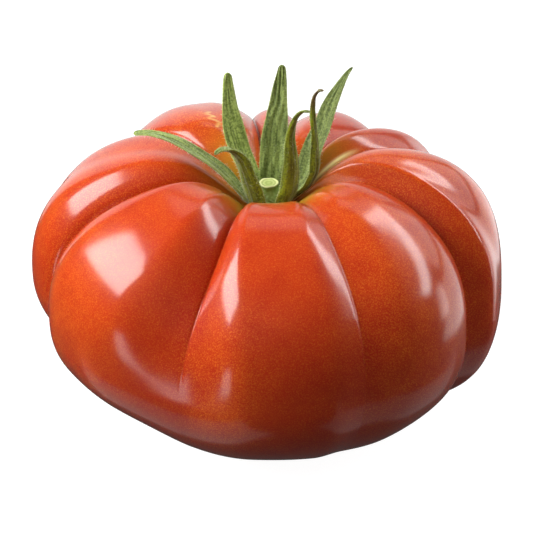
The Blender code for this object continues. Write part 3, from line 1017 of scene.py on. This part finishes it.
@dataclass
class Sepal:
    """One strap of the calyx.

    The route runs from the stub to the tip in millimetres.  The widths and the folds are read at
    even steps along it: a width is measured round the bend of the strap, and a fold is the angle
    in degrees that its two margins are bent towards the core.  Its outer side faces a bearing in
    degrees, with 0 to the front and 90 to the right.  Ripple and waviness are the height in
    millimetres of the wrinkles and of the margins' waves, browning is how far the tip has dried,
    blunt is the share of the length over which the tip rounds off, and tone scales how bright the colour is.
    The tone is painted light and shade: each sepal's colour is made brighter or darker to stand in
    for how brightly it is lit.
    """

    name: str
    route: tuple
    widths: tuple
    folds: tuple
    facing: float
    ripple: float = 0.06
    waviness: float = 0.12
    browning: float = 0.0
    seed: int = 1
    # Painted light and shade: brightness of the colour standing in for how brightly this sepal is lit
    tone: float = 1.0
    thickness: float = 0.7
    rows: int = 150
    columns: int = 72
    hairs: int = 420
    blunt: float = 0.04

    def along_strap(self, t: np.ndarray, values: tuple) -> np.ndarray:
        """Read a smooth curve through values given at even steps from root to tip."""
        steps = np.linspace(0.0, 1.0, len(values))
        return through_knots(t, tuple(steps[::-1]), values[::-1])

    def half_width(self, t: np.ndarray) -> np.ndarray:
        """Half the width along the strap, closed at both ends by a quarter of an ellipse."""
        root = np.sqrt(1.0 - np.clip(1.0 - t / 0.02, 0.0, 1.0) ** 2)
        tip = np.sqrt(1.0 - np.clip(1.0 - (1.0 - t) / self.blunt, 0.0, 1.0) ** 2)
        return 0.5 * self.along_strap(t, self.widths) * root * tip

    def frames(self) -> tuple[np.ndarray, np.ndarray, np.ndarray]:
        """Middle line of the strap, with its sideways and inward directions.

        The sideways direction is level and square to the facing, made square to the strap's own
        run.

        Returns:
            Points, sideways directions and inward directions, one for each row.
        """
        middle = smooth_route(self.route, self.rows)
        forward = np.gradient(middle, axis=0)
        forward /= np.linalg.norm(forward, axis=1)[:, None]
        bearing = math.radians(self.facing)
        across = np.cross((math.sin(bearing), -math.cos(bearing), 0.0), (0.0, 0.0, 1.0))
        side = across - forward * (forward @ across)[:, None]
        side /= np.linalg.norm(side, axis=1)[:, None]
        return middle, side, np.cross(side, forward)

    def surface(self) -> dict:
        """Points of the strap, as a function of the way along it and the angle round its section.

        A section is a thin lens bent into an arc by the fold.  A midrib stands out on its outer
        side with two side veins, lengthwise ripples run along both faces, and the margins wave.

        Returns:
            Points, outward normals and where each tint shows.
        """
        t = np.linspace(0.0, 1.0, self.rows)
        angle = np.linspace(0.0, math.tau, self.columns, endpoint=False)
        middle, side, inward = self.frames()
        share = np.cos(angle)[None, :]
        face = np.sin(angle)[None, :]
        along = t[:, None]
        half = self.half_width(t)[:, None]
        fold = np.radians(np.maximum(self.along_strap(t, self.folds), 3.0))[:, None]
        bend = share * fold / 2.0
        arc = 2.0 * half / fold
        slim = np.minimum(half / 0.7, 1.0)
        body = 0.5 * self.thickness * (1.0 - 0.35 * along) * slim
        lens = body * np.sign(face) * np.abs(face) ** 0.7
        veins = 0.20 * np.exp(-((share / 0.09) ** 2))
        veins = veins + 0.09 * np.exp(-(((np.abs(share) - 0.45) / 0.07) ** 2))
        relief = np.where(face < 0.0, -veins, -0.6 * veins) * slim * (1.0 - 0.5 * along)
        phase = self.seed * 1.7
        drift = 2.0 * np.sin(along * 5.0 + phase)
        corrugation = self.ripple * np.sin(share * 9.0 + drift + 1.5 * np.sin(along * 14.0 + phase))
        pucker = self.ripple * 0.6 * np.sin(along * 46.0 + 5.0 * share + phase) * (1.0 - share**2)
        wave = self.waviness * share**2 * np.sin(along * 17.0 + phase + 1.3 * share)
        lift = arc * (1.0 - np.cos(bend)) + (wave + corrugation + pucker) * slim
        shift = arc * np.sin(bend)
        cosine, sine = np.cos(bend)[..., None], np.sin(bend)[..., None]
        normal = inward[:, None, :] * cosine - side[:, None, :] * sine
        points = middle[:, None, :] + side[:, None, :] * shift[..., None]
        points = points + inward[:, None, :] * lift[..., None]
        points = points + normal * (lens + relief)[..., None]
        grid = np.broadcast_to(along, points.shape[:2])
        edge = smooth_step((np.abs(share) - 0.86) / 0.14) * np.ones_like(grid) * 0.8
        tip = smooth_step((grid - (1.0 - 0.30 * self.browning)) / 0.15) * min(self.browning, 1.0)
        return {
            "points": points,
            "normals": normal * np.sign(face + 1e-6)[..., None],
            "inner_face": np.broadcast_to(smooth_step(face / 0.4 + 0.5), grid.shape),
            "edge": edge,
            "browning": tip,
            "midrib": np.broadcast_to(np.exp(-((share / 0.35) ** 2)), grid.shape),
            # Painted light and shade for the whole sepal
            "tone": np.full(grid.shape, self.tone),
            "across": np.broadcast_to((share + 1.0) / 2.0, grid.shape),
            "along": grid,
        }

    def build(self) -> bpy.types.Object:
        """Make the sepal's closed mesh, with its lengthwise UV map.

        Returns:
            The sepal, in place.
        """
        shape = self.surface()
        mesh = mesh_between_poles(f"{self.name}_leaf", shape["points"])
        for name in ("inner_face", "edge", "browning", "midrib", "tone"):
            store(mesh, name, pole_values(shape[name]))
        flat = np.column_stack([pole_values(shape["across"]), pole_values(shape["along"])])
        corners = np.empty(len(mesh.loops), dtype=np.int64)
        mesh.loops.foreach_get("vertex_index", corners)
        layer = mesh.uv_layers.new(name="along")
        layer.data.foreach_set("uv", flat[corners].astype(np.float32).ravel())
        return add_piece(f"{self.name}_leaf", mesh, (self.name,))

    def build_down(self) -> bpy.types.Object:
        """Grow the sepal's hairs, thicker sown near the margins, along the surface normal.

        Returns:
            The hairs of this sepal as one piece.
        """
        rng = np.random.default_rng(self.seed + 100)
        count = self.hairs
        shape = self.surface()
        row = rng.integers(4, self.rows - 4, count)
        margin = np.where(rng.random(count) < 0.5, 0.0, math.pi)
        near = margin + rng.normal(0.0, 0.35, count)
        spot = np.where(rng.random(count) < 0.6, near, rng.random(count) * math.tau)
        column = np.round(spot / math.tau * self.columns).astype(int) % self.columns
        base = shape["points"][row, column]
        outward = base - shape["points"][row].mean(axis=1)
        outward /= np.linalg.norm(outward, axis=1)[:, None] + 1e-9
        lean = shape["normals"][row, column] * 0.6 + outward * 0.8
        lean = lean + rng.normal(0.0, 0.35, (count, 3))
        length = rng.uniform(0.3, 0.9, count)
        mesh = hair_spikes(f"{self.name}_down", base, lean, length, rng)
        return add_piece(f"{self.name}_down", mesh)


@dataclass
class Calyx:
    """The seven sepals round the stub."""

    # A tone above one is painted light on a sepal, a tone below one painted shade
    sepals: tuple = field(
        default_factory=lambda: (
            Sepal(
                "sepal_left",
                ((-3.6, -1.4, 53.2), (-5.3, -1.5, 54.4), (-7.6, -1.5, 57.3), (-9.9, -1.5, 60.2),
                 (-12.5, -1.4, 63.0), (-15.8, -1.0, 65.6), (-19.7, -0.5, 68.2), (-23.4, 0.1, 69.9),
                 (-27.4, 1.1, 70.6), (-31.2, 1.8, 70.2)),
                (4.4, 5.0, 5.4, 5.2, 4.7, 3.9, 2.9, 1.6),
                (60, 90, 90, 80, 60, 50, 40, 40), -90, seed=1, tone=1.15,
            ),
            Sepal(
                "sepal_back_left",
                ((-2.8, 3.0, 52.8), (-3.4, 4.0, 54.5), (-5.3, 6.0, 58.9), (-7.0, 7.5, 62.7),
                 (-8.2, 9.0, 66.7), (-9.0, 10.5, 71.2), (-9.4, 12.0, 75.7), (-9.6, 13.0, 79.9)),
                (4.2, 4.6, 4.9, 5.3, 5.1, 4.0, 2.9, 1.7), (30, 45, 45, 35, 30, 30, 30, 30), -160,
                seed=2, tone=1.5,
            ),
            Sepal(
                "sepal_front_left",
                ((-2.6, -3.9, 53.4), (-3.3, -4.5, 55.8), (-4.0, -4.9, 58.5), (-4.8, -5.4, 61.6),
                 (-5.7, -5.9, 65.3), (-6.7, -6.3, 68.4), (-8.2, -6.8, 70.6), (-10.0, -7.2, 71.3),
                 (-11.4, -7.7, 71.2), (-12.3, -8.1, 70.5)),
                (5.4, 5.6, 5.4, 4.9, 4.2, 3.2, 2.0, 0.9), (50, 60, 80, 90, 90, 90, 80, 60), -25,
                browning=0.25, seed=3, thickness=0.9,
            ),
            Sepal(
                "sepal_back",
                ((0.7, 4.0, 52.8), (0.8, 4.6, 54.8), (0.9, 5.6, 58.3), (1.1, 7.0, 62.4),
                 (1.4, 8.4, 66.0), (1.9, 9.8, 69.2), (2.5, 12.6, 74.9), (3.0, 14.2, 79.0),
                 (3.1, 14.9, 80.9)),
                (5.8, 6.3, 6.4, 6.2, 5.4, 4.2, 3.1, 1.5), (20, 40, 45, 40, 40, 40, 40, 40), 178,
                ripple=0.10, waviness=0.2, seed=4, blunt=0.03, tone=0.9,
            ),
            Sepal(
                "sepal_front_right",
                ((3.2, -3.6, 53.4), (4.0, -4.2, 55.8), (4.9, -4.4, 58.1), (5.3, -4.6, 60.7),
                 (5.5, -5.0, 65.4), (5.2, -5.3, 70.0), (5.1, -5.6, 73.4), (5.5, -5.9, 76.8),
                 (6.3, -6.2, 79.4), (7.7, -6.5, 80.9), (9.5, -6.7, 80.9)),
                (5.0, 5.3, 5.2, 4.9, 4.0, 3.0, 2.3, 1.5, 0.9), (50, 70, 90, 100, 110, 110, 100, 90, 60),
                28, browning=0.3, seed=5, thickness=0.9,
            ),
            Sepal(
                "sepal_back_right",
                ((3.7, 2.7, 53.3), (6.1, 3.7, 55.2), (8.3, 4.5, 57.2), (9.6, 6.0, 60.6),
                 (10.8, 7.5, 63.8), (12.6, 9.5, 67.2), (14.0, 11.5, 70.8), (15.8, 13.0, 74.5),
                 (18.1, 14.5, 78.4), (19.6, 15.0, 80.2)),
                (4.4, 5.0, 5.2, 5.0, 4.5, 3.6, 2.2, 0.5), (40, 50, 50, 45, 40, 40, 40, 40), 150,
                seed=6, blunt=0.02, tone=0.8,
            ),
            Sepal(
                "sepal_right",
                ((3.9, -1.0, 53.3), (6.4, -1.0, 55.3), (9.0, -0.8, 57.5), (10.5, -0.4, 60.0),
                 (11.1, -0.2, 62.0), (11.0, 0.0, 66.0), (10.6, 0.5, 71.3), (10.2, 1.0, 76.6),
                 (10.4, 1.4, 79.9), (11.3, 1.8, 81.3), (12.6, 2.0, 81.4)),
                (3.0, 3.4, 4.0, 4.0, 3.3, 2.5, 1.9, 1.4, 0.9), (70, 80, 90, 90, 100, 100, 100, 90, 60),
                52, browning=0.8, seed=7, thickness=0.8,
            ),
        )
    )

    def build(self) -> list[bpy.types.Object]:
        """Make every sepal."""
        return [sepal.build() for sepal in self.sepals]

    def build_down(self) -> list[bpy.types.Object]:
        """Make every sepal's hairs."""
        return [sepal.build_down() for sepal in self.sepals]

    def dress(self, leaves: list, down: list, tissue: SepalTissue, hair: bpy.types.Material) -> None:
        """Give the sepals one tissue and their hairs one material."""
        leaf_material = tissue.material()
        for leaf in leaves:
            leaf.data.materials.append(leaf_material)
        for tuft in down:
            tuft.data.materials.append(hair)


# ---------------------------------------------------------------- the studio


@dataclass(frozen=True)
class SoftBox:
    """A rectangular lamp aimed at the tomato.

    The bearing goes round the core in degrees, with 0 in front and 90 at the right; the elevation
    is above the table.  The width and height are the angles that the tomato sees it under, and
    the glow is its radiance.  The lean turns it in its own plane, its top towards larger bearings.
    A lamp that isn't mirrored lights the tomato without showing in its gloss.
    """

    name: str
    bearing: float
    elevation: float
    width: float
    height: float
    glow: float
    distance: float = 0.5
    lean: float = 0.0
    mirrored: bool = True


@dataclass
class Studio:
    """A white sweep of paper with soft lamps round it, and the camera."""

    camera_elevation: float = 35.0
    camera_distance: float = 0.5
    aim_mm: tuple = (0.3, 0.0, 33.0)
    # A long lens: at its distance the view is 129.5 mm wide, which leaves 8 to 9 mm beside the fruit
    lens_mm: float = 139.0
    sensor_mm: float = 36.0
    floor_radius: float = 2.0
    cove_radius: float = 3.0
    room_light: float = 0.06
    lamps: tuple = (
        SoftBox("key_left", -84.0, 40.0, 45.0, 32.0, 12.2),
        SoftBox("strip_right", 107.0, 38.0, 12.0, 62.0, 9.5, lean=50.0),
        SoftBox("fill_front", -42.0, 42.0, 76.0, 48.0, 1.5, mirrored=False),
        SoftBox("strip_low", 96.0, -2.0, 10.0, 22.0, 3.0),
        SoftBox("panel_right", 126.0, 30.0, 36.0, 38.0, 1.6),
        SoftBox("background", 185.0, 6.0, 62.0, 60.0, 0.85, 0.9),
        SoftBox("back_top", 172.0, 53.0, 36.0, 18.0, 1.1, 0.9),
        SoftBox("low_card", -44.0, -18.0, 9.0, 17.0, 3.6),
        SoftBox("glow_right", 125.0, -12.0, 56.0, 34.0, 1.5),
        SoftBox("bounce_left", -60.0, -58.0, 60.0, 30.0, 0.42),
        SoftBox("bounce_right", 80.0, -50.0, 60.0, 24.0, 0.25),
    )

    def build_sweep(self) -> bpy.types.Object:
        """Roll the paper out as a floor that sweeps up into a dome all round.

        The surface turns a profile round the core: level to the floor's radius, then a quarter of
        a circle in an eased sweep up to the top.  It shows to the camera only and throws no light
        on the tomato, as a backlit shooting table does.

        Returns:
            The paper, as a stage piece.
        """
        t = np.linspace(0.0, 1.0, 49)[:, None]
        turn = np.linspace(0.0, math.tau, 96, endpoint=False)[None, :]
        flat = np.linspace(0.0, 1.0, 9)[:, None] ** 2 * self.floor_radius
        rise = 0.5 * math.pi * t
        eased = smooth_step(t * 8.0)
        run = self.cove_radius - self.floor_radius
        level = self.floor_radius + run * np.minimum(t * 8.0, 1.0)
        out = self.cove_radius * np.cos(rise) * eased + (1.0 - eased) * level
        up = self.cove_radius * np.sin(rise) * smooth_step(t * 5.0)
        radius = np.vstack([flat, out[1:]])
        height = np.vstack([np.zeros_like(flat), up[1:]])
        x, y = radius * np.cos(turn), radius * np.sin(turn)
        z = np.broadcast_to(height, x.shape)
        rings = np.stack([x, y, z], axis=-1) / MM
        mesh = mesh_between_poles("studio_paper", rings)
        mesh.flip_normals()
        paper = bpy.data.objects.new("studio_paper", mesh)
        bpy.context.scene.collection.objects.link(paper)
        mesh.materials.append(StudioPaper().material())
        paper.visible_diffuse = False
        paper.visible_glossy = False
        paper.visible_transmission = False
        paper.visible_shadow = False
        return paper

    def look(self, item: bpy.types.Object, place: Vector, target: Vector) -> None:
        """Put a lamp or camera at a place and turn it to a target."""
        item.location = place
        item.rotation_mode = "QUATERNION"
        item.rotation_quaternion = (target - place).to_track_quat("-Z", "Y")

    def light(self) -> None:
        """Hang the lamps and fill the room with a little light.

        A lamp's side is twice its distance times the tangent of half its angle, and its power is
        its glow times pi times its area.
        """
        aim = Vector(self.aim_mm) * MM
        for lamp in self.lamps:
            data = bpy.data.lights.new(lamp.name, "AREA")
            data.shape = "RECTANGLE"
            data.size, data.size_y = (
                2.0 * lamp.distance * math.tan(math.radians(angle) / 2.0)
                for angle in (lamp.width, lamp.height)
            )
            data.energy = lamp.glow * math.pi * data.size * data.size_y
            item = bpy.data.objects.new(lamp.name, data)
            item.visible_camera = False
            item.visible_glossy = lamp.mirrored
            bpy.context.scene.collection.objects.link(item)
            bearing, rise = math.radians(lamp.bearing), math.radians(lamp.elevation)
            away = Vector(
                (math.cos(rise) * math.sin(bearing), -math.cos(rise) * math.cos(bearing), math.sin(rise))
            )
            self.look(item, aim + away * lamp.distance, aim)
            item.rotation_quaternion @= Quaternion((0.0, 0.0, 1.0), -math.radians(lamp.lean))
        world = bpy.data.worlds.new("studio_room")
        world.use_nodes = True
        bpy.context.scene.world = world
        room = world.node_tree.nodes["Background"]
        room.inputs["Color"].default_value = (1.0, 1.0, 1.0, 1.0)
        room.inputs["Strength"].default_value = self.room_light

    def shoot(self) -> None:
        """Set up the camera and the plain colour transform."""
        data = bpy.data.cameras.new("camera")
        data.sensor_width = self.sensor_mm
        data.lens = self.lens_mm
        camera = bpy.data.objects.new("camera", data)
        bpy.context.scene.collection.objects.link(camera)
        rise = math.radians(self.camera_elevation)
        back = Vector((0.0, -math.cos(rise), math.sin(rise)))
        aim = Vector(self.aim_mm) * MM
        self.look(camera, aim + back * self.camera_distance, aim)
        bpy.context.scene.camera = camera
        bpy.context.scene.view_settings.view_transform = "Standard"


def main() -> None:
    """Build and dress the tomato, then the studio."""
    logging.basicConfig(level=logging.INFO, format="%(name)s %(message)s")
    fruit = Fruit()
    fruit.dress(fruit.build(), TomatoSkin())
    hair = PlantDown().material()
    stub = StemStub()
    stub.dress(stub.build(), stub.build_down(), CutStem(), hair)
    calyx = Calyx()
    calyx.dress(calyx.build(), calyx.build_down(), SepalTissue(), hair)
    studio = Studio()
    studio.build_sweep()
    studio.light()
    studio.shoot()


if __name__ == "__main__":
    main()
